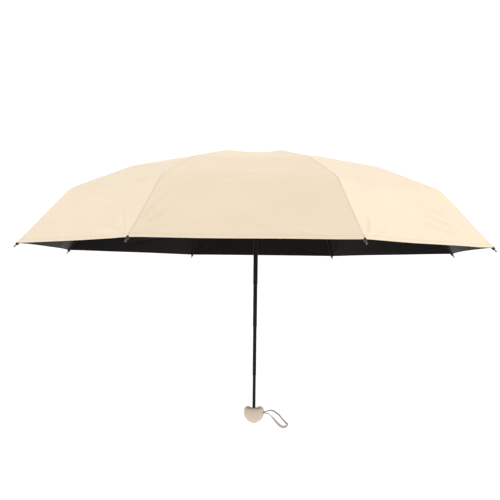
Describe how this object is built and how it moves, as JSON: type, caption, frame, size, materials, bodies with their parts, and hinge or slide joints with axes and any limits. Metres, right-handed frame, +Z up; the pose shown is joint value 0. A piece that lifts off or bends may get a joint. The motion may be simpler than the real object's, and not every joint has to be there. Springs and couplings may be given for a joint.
{
  "type": "folding umbrella",
  "caption": "Folding pocket umbrella, shown open: cloth canopy on hinged folding ribs, telescoping shaft, runner with a spring catch, rounded moulded handle and wrist strap.",
  "frame": {"origin": "the middle of the hand grip, on the shaft's axis", "axes": "+Z up the shaft towards the canopy, +X towards the side that the wrist strap leaves the handle on, -Y the front of the handle"},
  "size_m": [0.8346, 0.8346, 0.5214],
  "materials": {
    "canopy_cloth": "plain-woven polyester pongee, cream outside, with a black coating inside",
    "handle_shell": "matte soft-touch moulded plastic, beige",
    "strap_webbing": "thin woven flat band, grey-beige",
    "black_tube": "black anodised tube, satin",
    "rib_metal": "black coated rib sections, with bare metal tips",
    "black_plastic": "moulded black plastic, satin",
    "bare_steel": "bare spring steel and wire"
  },
  "bodies": {
    "handle": {"handle_front": "handle_shell", "handle_back": "handle_shell", "handle_socket": "black_plastic", "handle_pin": "bare_steel", "handle_plug": "handle_shell", "strap_clip": "bare_steel", "wrist_strap": "strap_webbing", "bottom_tube": "black_tube"},
    "lower_tube": {"lower_tube": "black_tube"},
    "middle_tube": {"middle_tube": "black_tube"},
    "upper_tube": {"upper_tube": "black_tube"},
    "top_tube": {"top_tube": "black_tube", "crown": "black_plastic", "crown_wire": "bare_steel", "top_cap": "black_plastic", "canopy": "canopy_cloth"},
    "catch": {"runner_catch": "bare_steel"},
    "runner": {"runner": "black_plastic", "runner_wire": "bare_steel"},
    "top_rib_1": {"top_rib_1": "rib_metal"},
    "stretcher_1": {"stretcher_1": "rib_metal"},
    "inner_rib_1": {"inner_rib_1": "rib_metal"},
    "middle_rib_1": {"middle_rib_1": "rib_metal"},
    "tip_rib_1": {"tip_rib_1": "rib_metal"},
    "top_rib_2": {"top_rib_2": "rib_metal"},
    "stretcher_2": {"stretcher_2": "rib_metal"},
    "inner_rib_2": {"inner_rib_2": "rib_metal"},
    "middle_rib_2": {"middle_rib_2": "rib_metal"},
    "tip_rib_2": {"tip_rib_2": "rib_metal"},
    "top_rib_3": {"top_rib_3": "rib_metal"},
    "stretcher_3": {"stretcher_3": "rib_metal"},
    "inner_rib_3": {"inner_rib_3": "rib_metal"},
    "middle_rib_3": {"middle_rib_3": "rib_metal"},
    "tip_rib_3": {"tip_rib_3": "rib_metal"},
    "top_rib_4": {"top_rib_4": "rib_metal"},
    "stretcher_4": {"stretcher_4": "rib_metal"},
    "inner_rib_4": {"inner_rib_4": "rib_metal"},
    "middle_rib_4": {"middle_rib_4": "rib_metal"},
    "tip_rib_4": {"tip_rib_4": "rib_metal"},
    "top_rib_5": {"top_rib_5": "rib_metal"},
    "stretcher_5": {"stretcher_5": "rib_metal"},
    "inner_rib_5": {"inner_rib_5": "rib_metal"},
    "middle_rib_5": {"middle_rib_5": "rib_metal"},
    "tip_rib_5": {"tip_rib_5": "rib_metal"},
    "top_rib_6": {"top_rib_6": "rib_metal"},
    "stretcher_6": {"stretcher_6": "rib_metal"},
    "inner_rib_6": {"inner_rib_6": "rib_metal"},
    "middle_rib_6": {"middle_rib_6": "rib_metal"},
    "tip_rib_6": {"tip_rib_6": "rib_metal"},
    "top_rib_7": {"top_rib_7": "rib_metal"},
    "stretcher_7": {"stretcher_7": "rib_metal"},
    "inner_rib_7": {"inner_rib_7": "rib_metal"},
    "middle_rib_7": {"middle_rib_7": "rib_metal"},
    "tip_rib_7": {"tip_rib_7": "rib_metal"},
    "top_rib_8": {"top_rib_8": "rib_metal"},
    "stretcher_8": {"stretcher_8": "rib_metal"},
    "inner_rib_8": {"inner_rib_8": "rib_metal"},
    "middle_rib_8": {"middle_rib_8": "rib_metal"},
    "tip_rib_8": {"tip_rib_8": "rib_metal"}
  },
  "joints": [
    {"name": "lower_tube_slide", "type": "slide", "parent": "handle", "child": "lower_tube", "axis": [0, 0, -1], "range_m": [0, 0.057]},
    {"name": "middle_tube_slide", "type": "slide", "parent": "lower_tube", "child": "middle_tube", "axis": [0, 0, -1], "range_m": [0, 0.093]},
    {"name": "upper_tube_slide", "type": "slide", "parent": "middle_tube", "child": "upper_tube", "axis": [0, 0, -1], "range_m": [0, 0.082]},
    {"name": "top_tube_slide", "type": "slide", "parent": "upper_tube", "child": "top_tube", "axis": [0, 0, -1], "range_m": [0, 0.095]},
    {"name": "catch_press", "type": "slide", "parent": "top_tube", "child": "catch", "axis": [0, 1, 0], "range_m": [0, 0.0023], "stiffness_N_per_m": 400, "deforming": ["runner_catch"]},
    {"name": "canopy_fold", "type": "hinge", "parent": "top_tube", "child": "top_rib_1", "pos_m": [0.00785, 0.00325, 0.4876], "axis": [-0.3827, 0.9239, 0], "range_deg": [0, 65.3], "deforming": ["canopy"]},
    {"name": "stretcher_1_pivot", "type": "hinge", "parent": "top_rib_1", "child": "stretcher_1", "pos_m": [0.05678, 0.02352, 0.46652], "axis": [-0.3827, 0.9239, 0], "range_deg": [-130.62, 0]},
    {"name": "inner_rib_1_pivot", "type": "hinge", "parent": "stretcher_1", "child": "inner_rib_1", "pos_m": [0.10743, 0.0445, 0.48834], "axis": [-0.3827, 0.9239, 0], "range_deg": [0, 142.37]},
    {"name": "middle_rib_1_pivot", "type": "hinge", "parent": "inner_rib_1", "child": "middle_rib_1", "pos_m": [0.22387, 0.09273, 0.46384], "axis": [-0.3827, 0.9239, 0], "range_deg": [-189, 0]},
    {"name": "tip_rib_1_pivot", "type": "hinge", "parent": "middle_rib_1", "child": "tip_rib_1", "pos_m": [0.32407, 0.13423, 0.4151], "axis": [-0.3827, 0.9239, 0], "range_deg": [0, 156.09]},
    {"name": "runner_pivot", "type": "hinge", "parent": "stretcher_1", "child": "runner", "pos_m": [0.00785, 0.00325, 0.44545], "axis": [-0.3827, 0.9239, 0], "range_deg": [0, 65.32]},
    {"name": "top_rib_2_pivot", "type": "hinge", "parent": "top_tube", "child": "top_rib_2", "pos_m": [0.00325, 0.00785, 0.4876], "axis": [-0.9239, 0.3827, 0], "range_deg": [0, 65.32]},
    {"name": "stretcher_2_pivot", "type": "hinge", "parent": "top_rib_2", "child": "stretcher_2", "pos_m": [0.02352, 0.05678, 0.46652], "axis": [-0.9239, 0.3827, 0], "range_deg": [-130.62, 0]},
    {"name": "inner_rib_2_pivot", "type": "hinge", "parent": "stretcher_2", "child": "inner_rib_2", "pos_m": [0.0445, 0.10743, 0.48834], "axis": [-0.9239, 0.3827, 0], "range_deg": [0, 142.37]},
    {"name": "middle_rib_2_pivot", "type": "hinge", "parent": "inner_rib_2", "child": "middle_rib_2", "pos_m": [0.09273, 0.22387, 0.46384], "axis": [-0.9239, 0.3827, 0], "range_deg": [-189, 0]},
    {"name": "tip_rib_2_pivot", "type": "hinge", "parent": "middle_rib_2", "child": "tip_rib_2", "pos_m": [0.13423, 0.32407, 0.4151], "axis": [-0.9239, 0.3827, 0], "range_deg": [0, 156.09]},
    {"name": "top_rib_3_pivot", "type": "hinge", "parent": "top_tube", "child": "top_rib_3", "pos_m": [-0.00325, 0.00785, 0.4876], "axis": [-0.9239, -0.3827, 0], "range_deg": [0, 65.32]},
    {"name": "stretcher_3_pivot", "type": "hinge", "parent": "top_rib_3", "child": "stretcher_3", "pos_m": [-0.02352, 0.05678, 0.46652], "axis": [-0.9239, -0.3827, 0], "range_deg": [-130.62, 0]},
    {"name": "inner_rib_3_pivot", "type": "hinge", "parent": "stretcher_3", "child": "inner_rib_3", "pos_m": [-0.0445, 0.10743, 0.48834], "axis": [-0.9239, -0.3827, 0], "range_deg": [0, 142.37]},
    {"name": "middle_rib_3_pivot", "type": "hinge", "parent": "inner_rib_3", "child": "middle_rib_3", "pos_m": [-0.09273, 0.22387, 0.46384], "axis": [-0.9239, -0.3827, 0], "range_deg": [-189, 0]},
    {"name": "tip_rib_3_pivot", "type": "hinge", "parent": "middle_rib_3", "child": "tip_rib_3", "pos_m": [-0.13423, 0.32407, 0.4151], "axis": [-0.9239, -0.3827, 0], "range_deg": [0, 156.09]},
    {"name": "top_rib_4_pivot", "type": "hinge", "parent": "top_tube", "child": "top_rib_4", "pos_m": [-0.00785, 0.00325, 0.4876], "axis": [-0.3827, -0.9239, 0], "range_deg": [0, 65.32]},
    {"name": "stretcher_4_pivot", "type": "hinge", "parent": "top_rib_4", "child": "stretcher_4", "pos_m": [-0.05678, 0.02352, 0.46652], "axis": [-0.3827, -0.9239, 0], "range_deg": [-130.62, 0]},
    {"name": "inner_rib_4_pivot", "type": "hinge", "parent": "stretcher_4", "child": "inner_rib_4", "pos_m": [-0.10743, 0.0445, 0.48834], "axis": [-0.3827, -0.9239, 0], "range_deg": [0, 142.37]},
    {"name": "middle_rib_4_pivot", "type": "hinge", "parent": "inner_rib_4", "child": "middle_rib_4", "pos_m": [-0.22387, 0.09273, 0.46384], "axis": [-0.3827, -0.9239, 0], "range_deg": [-189, 0]},
    {"name": "tip_rib_4_pivot", "type": "hinge", "parent": "middle_rib_4", "child": "tip_rib_4", "pos_m": [-0.32407, 0.13423, 0.4151], "axis": [-0.3827, -0.9239, 0], "range_deg": [0, 156.09]},
    {"name": "top_rib_5_pivot", "type": "hinge", "parent": "top_tube", "child": "top_rib_5", "pos_m": [-0.00785, -0.00325, 0.4876], "axis": [0.3827, -0.9239, 0], "range_deg": [0, 65.32]},
    {"name": "stretcher_5_pivot", "type": "hinge", "parent": "top_rib_5", "child": "stretcher_5", "pos_m": [-0.05678, -0.02352, 0.46652], "axis": [0.3827, -0.9239, 0], "range_deg": [-130.62, 0]},
    {"name": "inner_rib_5_pivot", "type": "hinge", "parent": "stretcher_5", "child": "inner_rib_5", "pos_m": [-0.10743, -0.0445, 0.48834], "axis": [0.3827, -0.9239, 0], "range_deg": [0, 142.37]},
    {"name": "middle_rib_5_pivot", "type": "hinge", "parent": "inner_rib_5", "child": "middle_rib_5", "pos_m": [-0.22387, -0.09273, 0.46384], "axis": [0.3827, -0.9239, 0], "range_deg": [-189, 0]},
    {"name": "tip_rib_5_pivot", "type": "hinge", "parent": "middle_rib_5", "child": "tip_rib_5", "pos_m": [-0.32407, -0.13423, 0.4151], "axis": [0.3827, -0.9239, 0], "range_deg": [0, 156.09]},
    {"name": "top_rib_6_pivot", "type": "hinge", "parent": "top_tube", "child": "top_rib_6", "pos_m": [-0.00325, -0.00785, 0.4876], "axis": [0.9239, -0.3827, 0], "range_deg": [0, 65.32]},
    {"name": "stretcher_6_pivot", "type": "hinge", "parent": "top_rib_6", "child": "stretcher_6", "pos_m": [-0.02352, -0.05678, 0.46652], "axis": [0.9239, -0.3827, 0], "range_deg": [-130.62, 0]},
    {"name": "inner_rib_6_pivot", "type": "hinge", "parent": "stretcher_6", "child": "inner_rib_6", "pos_m": [-0.0445, -0.10743, 0.48834], "axis": [0.9239, -0.3827, 0], "range_deg": [0, 142.37]},
    {"name": "middle_rib_6_pivot", "type": "hinge", "parent": "inner_rib_6", "child": "middle_rib_6", "pos_m": [-0.09273, -0.22387, 0.46384], "axis": [0.9239, -0.3827, 0], "range_deg": [-189, 0]},
    {"name": "tip_rib_6_pivot", "type": "hinge", "parent": "middle_rib_6", "child": "tip_rib_6", "pos_m": [-0.13423, -0.32407, 0.4151], "axis": [0.9239, -0.3827, 0], "range_deg": [0, 156.09]},
    {"name": "top_rib_7_pivot", "type": "hinge", "parent": "top_tube", "child": "top_rib_7", "pos_m": [0.00325, -0.00785, 0.4876], "axis": [0.9239, 0.3827, 0], "range_deg": [0, 65.32]},
    {"name": "stretcher_7_pivot", "type": "hinge", "parent": "top_rib_7", "child": "stretcher_7", "pos_m": [0.02352, -0.05678, 0.46652], "axis": [0.9239, 0.3827, 0], "range_deg": [-130.62, 0]},
    {"name": "inner_rib_7_pivot", "type": "hinge", "parent": "stretcher_7", "child": "inner_rib_7", "pos_m": [0.0445, -0.10743, 0.48834], "axis": [0.9239, 0.3827, 0], "range_deg": [0, 142.37]},
    {"name": "middle_rib_7_pivot", "type": "hinge", "parent": "inner_rib_7", "child": "middle_rib_7", "pos_m": [0.09273, -0.22387, 0.46384], "axis": [0.9239, 0.3827, 0], "range_deg": [-189, 0]},
    {"name": "tip_rib_7_pivot", "type": "hinge", "parent": "middle_rib_7", "child": "tip_rib_7", "pos_m": [0.13423, -0.32407, 0.4151], "axis": [0.9239, 0.3827, 0], "range_deg": [0, 156.09]},
    {"name": "top_rib_8_pivot", "type": "hinge", "parent": "top_tube", "child": "top_rib_8", "pos_m": [0.00785, -0.00325, 0.4876], "axis": [0.3827, 0.9239, 0], "range_deg": [0, 65.32]},
    {"name": "stretcher_8_pivot", "type": "hinge", "parent": "top_rib_8", "child": "stretcher_8", "pos_m": [0.05678, -0.02352, 0.46652], "axis": [0.3827, 0.9239, 0], "range_deg": [-130.62, 0]},
    {"name": "inner_rib_8_pivot", "type": "hinge", "parent": "stretcher_8", "child": "inner_rib_8", "pos_m": [0.10743, -0.0445, 0.48834], "axis": [0.3827, 0.9239, 0], "range_deg": [0, 142.37]},
    {"name": "middle_rib_8_pivot", "type": "hinge", "parent": "inner_rib_8", "child": "middle_rib_8", "pos_m": [0.22387, -0.09273, 0.46384], "axis": [0.3827, 0.9239, 0], "range_deg": [-189, 0]},
    {"name": "tip_rib_8_pivot", "type": "hinge", "parent": "middle_rib_8", "child": "tip_rib_8", "pos_m": [0.32407, -0.13423, 0.4151], "axis": [0.3827, 0.9239, 0], "range_deg": [0, 156.09]}
  ],
  "couplings": [
    {"joint": "stretcher_1_pivot", "follows": "canopy_fold", "ratio": -2},
    {"joint": "inner_rib_1_pivot", "follows": "canopy_fold", "ratio": 2.18},
    {"joint": "middle_rib_1_pivot", "follows": "canopy_fold", "ratio": -2.894},
    {"joint": "tip_rib_1_pivot", "follows": "canopy_fold", "ratio": 2.39},
    {"joint": "runner_pivot", "follows": "canopy_fold", "ratio": 1},
    {"joint": "top_rib_2_pivot", "follows": "canopy_fold", "ratio": 1},
    {"joint": "stretcher_2_pivot", "follows": "canopy_fold", "ratio": -2},
    {"joint": "inner_rib_2_pivot", "follows": "canopy_fold", "ratio": 2.18},
    {"joint": "middle_rib_2_pivot", "follows": "canopy_fold", "ratio": -2.894},
    {"joint": "tip_rib_2_pivot", "follows": "canopy_fold", "ratio": 2.39},
    {"joint": "top_rib_3_pivot", "follows": "canopy_fold", "ratio": 1},
    {"joint": "stretcher_3_pivot", "follows": "canopy_fold", "ratio": -2},
    {"joint": "inner_rib_3_pivot", "follows": "canopy_fold", "ratio": 2.18},
    {"joint": "middle_rib_3_pivot", "follows": "canopy_fold", "ratio": -2.894},
    {"joint": "tip_rib_3_pivot", "follows": "canopy_fold", "ratio": 2.39},
    {"joint": "top_rib_4_pivot", "follows": "canopy_fold", "ratio": 1},
    {"joint": "stretcher_4_pivot", "follows": "canopy_fold", "ratio": -2},
    {"joint": "inner_rib_4_pivot", "follows": "canopy_fold", "ratio": 2.18},
    {"joint": "middle_rib_4_pivot", "follows": "canopy_fold", "ratio": -2.894},
    {"joint": "tip_rib_4_pivot", "follows": "canopy_fold", "ratio": 2.39},
    {"joint": "top_rib_5_pivot", "follows": "canopy_fold", "ratio": 1},
    {"joint": "stretcher_5_pivot", "follows": "canopy_fold", "ratio": -2},
    {"joint": "inner_rib_5_pivot", "follows": "canopy_fold", "ratio": 2.18},
    {"joint": "middle_rib_5_pivot", "follows": "canopy_fold", "ratio": -2.894},
    {"joint": "tip_rib_5_pivot", "follows": "canopy_fold", "ratio": 2.39},
    {"joint": "top_rib_6_pivot", "follows": "canopy_fold", "ratio": 1},
    {"joint": "stretcher_6_pivot", "follows": "canopy_fold", "ratio": -2},
    {"joint": "inner_rib_6_pivot", "follows": "canopy_fold", "ratio": 2.18},
    {"joint": "middle_rib_6_pivot", "follows": "canopy_fold", "ratio": -2.894},
    {"joint": "tip_rib_6_pivot", "follows": "canopy_fold", "ratio": 2.39},
    {"joint": "top_rib_7_pivot", "follows": "canopy_fold", "ratio": 1},
    {"joint": "stretcher_7_pivot", "follows": "canopy_fold", "ratio": -2},
    {"joint": "inner_rib_7_pivot", "follows": "canopy_fold", "ratio": 2.18},
    {"joint": "middle_rib_7_pivot", "follows": "canopy_fold", "ratio": -2.894},
    {"joint": "tip_rib_7_pivot", "follows": "canopy_fold", "ratio": 2.39},
    {"joint": "top_rib_8_pivot", "follows": "canopy_fold", "ratio": 1},
    {"joint": "stretcher_8_pivot", "follows": "canopy_fold", "ratio": -2},
    {"joint": "inner_rib_8_pivot", "follows": "canopy_fold", "ratio": 2.18},
    {"joint": "middle_rib_8_pivot", "follows": "canopy_fold", "ratio": -2.894},
    {"joint": "tip_rib_8_pivot", "follows": "canopy_fold", "ratio": 2.39}
  ]
}
